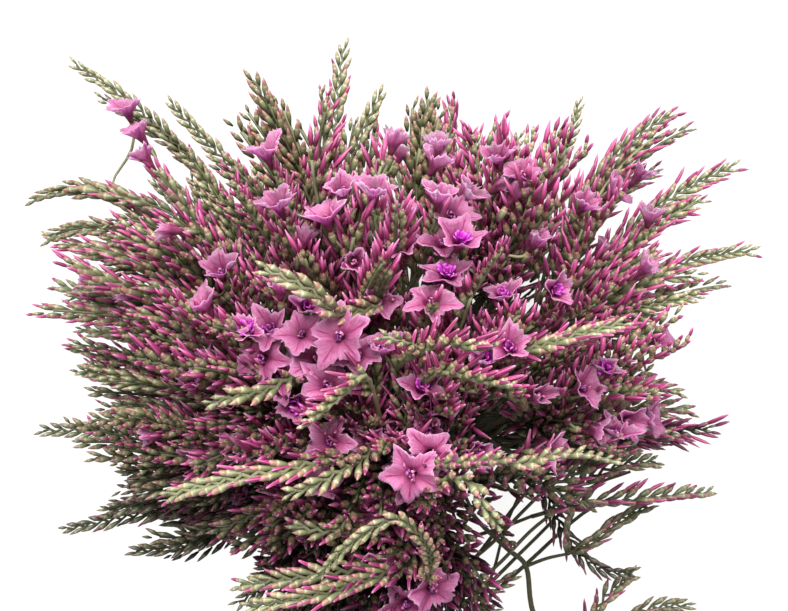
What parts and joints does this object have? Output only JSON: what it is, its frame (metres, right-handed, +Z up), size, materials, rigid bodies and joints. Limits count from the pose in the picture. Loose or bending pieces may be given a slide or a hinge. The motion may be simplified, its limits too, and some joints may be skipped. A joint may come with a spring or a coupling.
{
  "type": "dried statice bunch",
  "caption": "Bunch of dried statice lying on its side: forked wiry stems in a twine tie, a dome of flat magenta and green spikes and open papery flowers.",
  "frame": {"origin": "bottom centre of the bounding box, on the surface that the bunch lies on", "axes": "+Y from the cut ends to the flower head, +Z up, +X to the right when the bunch is seen from above with its head away from the viewer"},
  "size_m": [0.226, 0.3943, 0.1369],
  "materials": {
    "stem": "dry, matt grey-green bark",
    "bract": "dry scales, olive green with pale margins",
    "petal": "papery magenta pink, matt",
    "twine": "plain natural twine"
  },
  "bodies": {
    "root": {"stem_01": "stem", "stem_02": "stem", "stem_03": "stem", "stem_04": "stem", "stem_05": "stem", "stem_06": "stem", "stem_07": "stem", "stem_08": "stem", "stem_09": "stem", "spray_01": "bract", "spray_02": "bract", "spray_03": "bract", "spray_04": "bract", "spray_05": "bract", "spray_06": "bract", "spray_07": "bract", "spray_08": "bract", "spray_09": "bract", "spray_10": "bract", "spray_11": "bract", "spray_12": "bract", "spray_13": "bract", "spray_14": "bract", "spray_15": "bract", "spray_16": "bract", "spray_17": "bract", "spray_18": "bract", "spray_19": "bract", "spray_20": "bract", "spray_21": "bract", "spray_22": "bract", "spray_23": "bract", "spray_24": "bract", "spray_25": "bract", "spray_26": "bract", "spray_27": "bract", "spray_28": "bract", "spray_29": "bract", "spray_30": "bract", "spray_31": "bract", "spray_32": "bract", "spray_33": "bract", "spray_34": "bract", "flower_01": "petal", "flower_02": "petal", "flower_03": "petal", "flower_04": "petal", "flower_05": "petal", "flower_06": "petal", "flower_07": "petal", "flower_08": "petal", "flower_09": "petal", "flower_10": "petal", "flower_11": "petal", "flower_12": "petal", "flower_13": "petal", "flower_14": "petal", "tie": "twine"}
  },
  "joints": []
}
